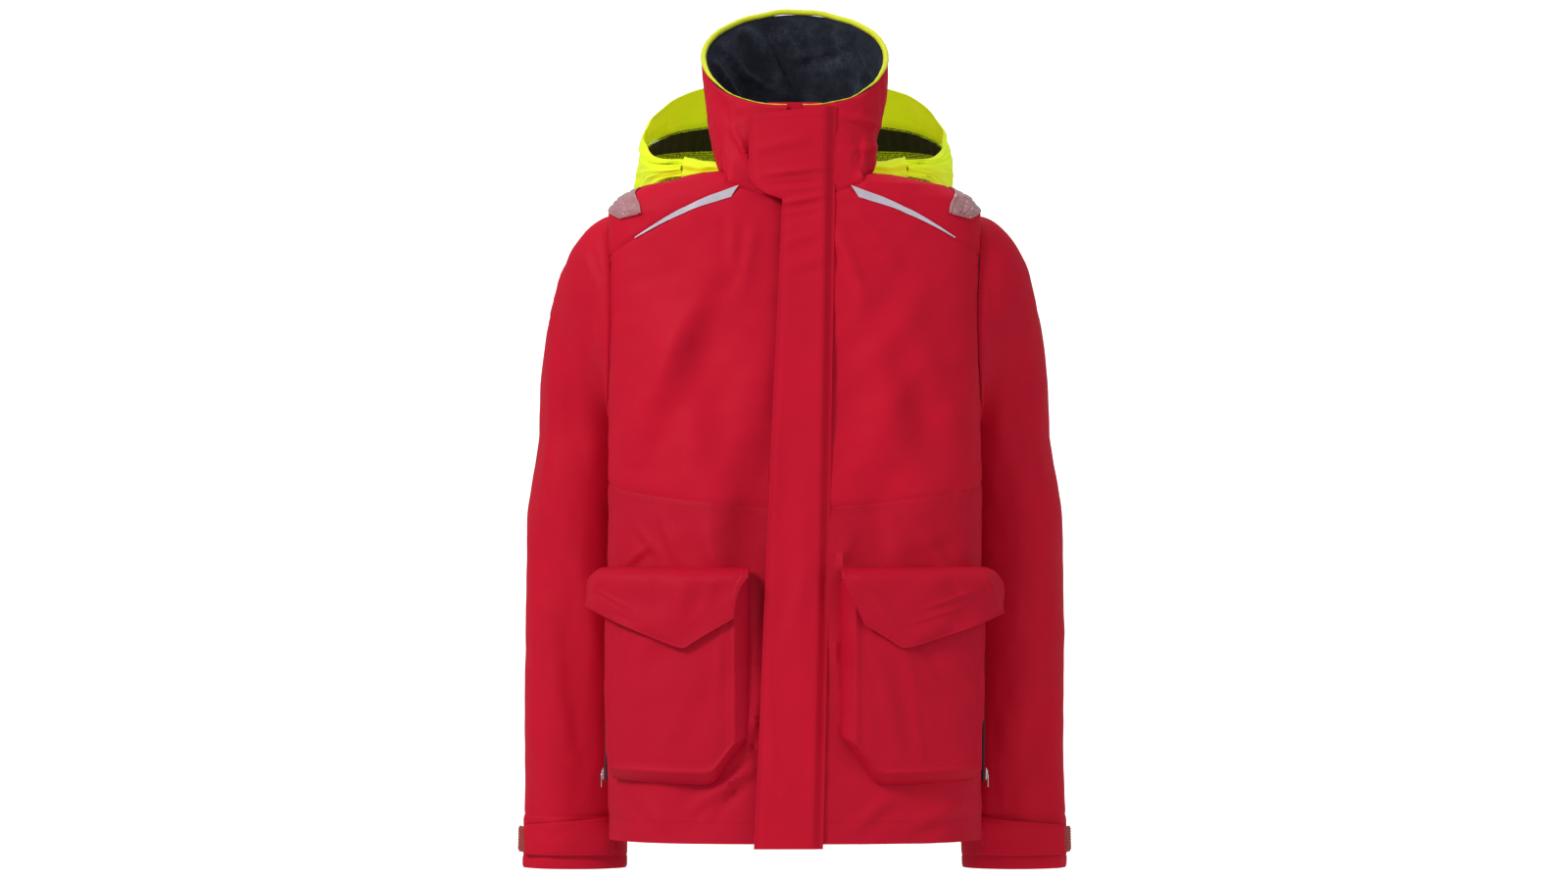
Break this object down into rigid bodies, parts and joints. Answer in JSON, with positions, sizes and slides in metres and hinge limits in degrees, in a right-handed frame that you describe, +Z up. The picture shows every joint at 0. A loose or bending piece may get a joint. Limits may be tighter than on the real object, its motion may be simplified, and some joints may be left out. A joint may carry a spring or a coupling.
{
  "type": "foul weather jacket",
  "caption": "Hanging sailing jacket with a tall lined collar, stowed hood, storm flap over a full zip, cargo pockets and adjustable cuffs.",
  "frame": {"origin": "top of the hanger loop inside the back of the collar", "axes": "+Z up, -Y out of the front, +X to the wearer's left"},
  "size_m": [0.6288, 0.3853, 0.9762],
  "materials": {
    "shell_red": "matte plain-weave coated shell cloth",
    "lower_red": "matte plain-weave coated shell cloth, slightly darker",
    "fluoro_yellow": "fluorescent yellow nylon with a soft sheen",
    "fleece": "brushed microfleece",
    "mesh": "open knitted mesh",
    "black_tape": "woven tape",
    "hook_and_loop": "hook-and-loop strip",
    "zip_plastic": "moulded plastic",
    "zip_metal": "cast slider, satin",
    "reflective": "silver retroreflective film",
    "clear_patch": "clear moulded patch with an embossed grid",
    "tab_end": "moulded soft grip"
  },
  "bodies": {
    "shell": {"front_upper_left": "shell_red", "front_lower_left": "lower_red", "yoke_left": "shell_red", "front_upper_right": "shell_red", "front_lower_right": "lower_red", "yoke_right": "shell_red", "back_yoke": "shell_red", "back_upper": "shell_red", "back_lower": "lower_red", "body_lining": "mesh", "collar_shell": "shell_red", "collar_lining": "fleece", "collar_piping": "fluoro_yellow", "hanger_loop": "black_tape", "zip_teeth_left": "zip_plastic", "zip_tape_left": "black_tape", "zip_teeth_right": "zip_plastic", "zip_tape_right": "black_tape", "zip_stop": "zip_plastic", "inner_flap": "shell_red", "storm_flap_loops": "hook_and_loop", "reflective_strip_left": "reflective", "shoulder_patch_left": "clear_patch", "reflective_strip_right": "reflective", "shoulder_patch_right": "clear_patch", "pocket_pouch_left": "lower_red", "pocket_loops_left": "hook_and_loop", "pocket_pouch_right": "lower_red", "pocket_loops_right": "hook_and_loop", "hand_zip_left": "black_tape", "hand_zip_right": "black_tape", "sleeve_head_left": "shell_red", "sleeve_head_right": "shell_red", "hood_neck": "fluoro_yellow"},
    "hood": {"hood_crown": "fluoro_yellow", "hood_face_band": "fluoro_yellow", "hood_mesh": "mesh", "hood_tape": "black_tape"},
    "storm_flap": {"storm_flap": "shell_red", "storm_flap_hooks": "hook_and_loop"},
    "zip_slider": {"zip_slider": "zip_metal", "zip_puller": "zip_plastic"},
    "pocket_flap_left": {"pocket_flap_left": "lower_red", "pocket_hooks_left": "hook_and_loop"},
    "hand_zip_slider_left": {"hand_zip_slider_left": "zip_metal"},
    "sleeve_left": {"sleeve_left": "shell_red", "cuff_band_left": "shell_red", "cuff_loops_left": "hook_and_loop"},
    "cuff_tab_left": {"cuff_tab_left": "shell_red", "cuff_tab_end_left": "tab_end"},
    "pocket_flap_right": {"pocket_flap_right": "lower_red", "pocket_hooks_right": "hook_and_loop"},
    "hand_zip_slider_right": {"hand_zip_slider_right": "zip_metal"},
    "sleeve_right": {"sleeve_right": "shell_red", "cuff_band_right": "shell_red", "cuff_loops_right": "hook_and_loop"},
    "cuff_tab_right": {"cuff_tab_right": "shell_red", "cuff_tab_end_right": "tab_end"}
  },
  "joints": [
    {"name": "hood_raise", "type": "hinge", "parent": "shell", "child": "hood", "pos_m": [0, -0.086, -0.027], "axis": [1, 0, 0], "range_deg": [0, 100]},
    {"name": "storm_flap_open", "type": "hinge", "parent": "shell", "child": "storm_flap", "pos_m": [0.0385, -0.1916, -0.3696], "axis": [0.0183, 0.0486, 0.9986], "range_deg": [0, 105]},
    {"name": "main_zip", "type": "slide", "parent": "shell", "child": "zip_slider", "axis": [0, -0.0486, -0.9988], "range_m": [0, 0.7]},
    {"name": "pocket_flap_left_lift", "type": "hinge", "parent": "shell", "child": "pocket_flap_left", "pos_m": [0.1428, -0.1985, -0.471], "axis": [-0.943, -0.3328, 0], "range_deg": [0, 110]},
    {"name": "hand_zip_left", "type": "slide", "parent": "shell", "child": "hand_zip_slider_left", "axis": [0, 0, 1], "range_m": [0, 0.14]},
    {"name": "sleeve_left_swing", "type": "hinge", "parent": "shell", "child": "sleeve_left", "pos_m": [0.29, 0.011, -0.325], "axis": [0, -1, 0], "range_deg": [0, 35]},
    {"name": "cuff_tab_left_open", "type": "hinge", "parent": "sleeve_left", "child": "cuff_tab_left", "pos_m": [0.203, -0.0337, -0.777], "axis": [0, 0, -1], "range_deg": [0, 60]},
    {"name": "pocket_flap_right_lift", "type": "hinge", "parent": "shell", "child": "pocket_flap_right", "pos_m": [-0.1428, -0.1985, -0.471], "axis": [-0.943, 0.3328, 0], "range_deg": [0, 110]},
    {"name": "hand_zip_right", "type": "slide", "parent": "shell", "child": "hand_zip_slider_right", "axis": [0, 0, 1], "range_m": [0, 0.14]},
    {"name": "sleeve_right_swing", "type": "hinge", "parent": "shell", "child": "sleeve_right", "pos_m": [-0.29, 0.011, -0.325], "axis": [0, 1, 0], "range_deg": [0, 35]},
    {"name": "cuff_tab_right_open", "type": "hinge", "parent": "sleeve_right", "child": "cuff_tab_right", "pos_m": [-0.203, -0.0337, -0.777], "axis": [0, 0, 1], "range_deg": [0, 60]}
  ]
}
